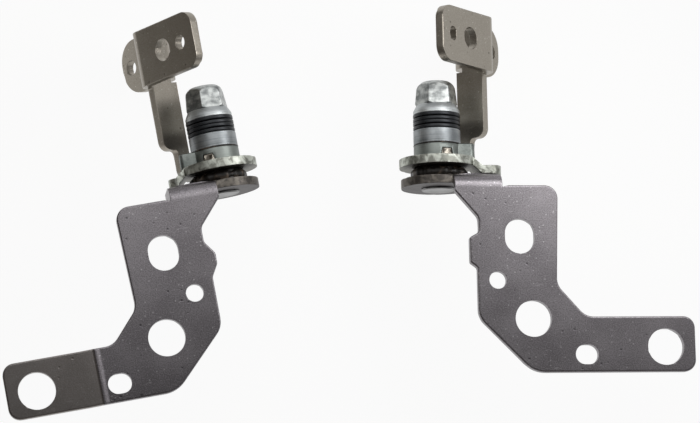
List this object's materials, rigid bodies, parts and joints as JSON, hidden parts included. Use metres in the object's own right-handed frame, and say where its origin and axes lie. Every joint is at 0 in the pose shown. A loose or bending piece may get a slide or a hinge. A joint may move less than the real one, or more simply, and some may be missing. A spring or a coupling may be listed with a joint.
{
  "type": "laptop hinge pair",
  "caption": "Left and right friction hinges for a laptop lid: flat base brackets, shafts with washers, disc springs and lock nuts, and folded lid brackets.",
  "frame": {"origin": "midway between the two screw holes of the right base plate, on the plate's front face", "axes": "+Z out of the front faces of both base plates, +Y along the right shaft towards its nut, +X from the left hinge to the right one"},
  "size_m": [0.0934, 0.0571, 0.023],
  "materials": {
    "base_steel": "nickel plated",
    "lid_steel": "nickel plated",
    "shaft_steel": "turned",
    "bright_steel": "turned",
    "nut_steel": "zinc plated",
    "greased_steel": "greased",
    "black_spring": "black oxide"
  },
  "bodies": {
    "bases": {"right_base_bracket": "base_steel", "right_hinge_shaft": "shaft_steel", "right_spacer_washer": "greased_steel", "right_thrust_washer": "bright_steel", "right_disc_spring_1": "black_spring", "right_disc_spring_2": "black_spring", "right_disc_spring_3": "black_spring", "right_disc_spring_4": "black_spring", "right_cap_washer": "bright_steel", "right_lock_nut": "nut_steel", "left_base_bracket": "base_steel", "left_hinge_shaft": "shaft_steel", "left_spacer_washer": "greased_steel", "left_thrust_washer": "bright_steel", "left_disc_spring_1": "black_spring", "left_disc_spring_2": "black_spring", "left_disc_spring_3": "black_spring", "left_disc_spring_4": "black_spring", "left_cap_washer": "bright_steel", "left_lock_nut": "nut_steel"},
    "right_lid": {"right_lid_bracket": "lid_steel", "right_cam_ring": "bright_steel"},
    "left_lid": {"left_lid_bracket": "lid_steel", "left_cam_ring": "bright_steel"}
  },
  "joints": [
    {"name": "right_lid_turn", "type": "hinge", "parent": "bases", "child": "right_lid", "pos_m": [-0.02065, 0.02195, -0.0065], "axis": [0, 1, 0], "range_deg": [-16.6, 133.4]},
    {"name": "left_lid_turn", "type": "hinge", "parent": "bases", "child": "left_lid", "pos_m": [-0.05057, 0.02127, -0.0065], "axis": [0.1711, -0.9853, 0], "range_deg": [-25, 125]}
  ]
}
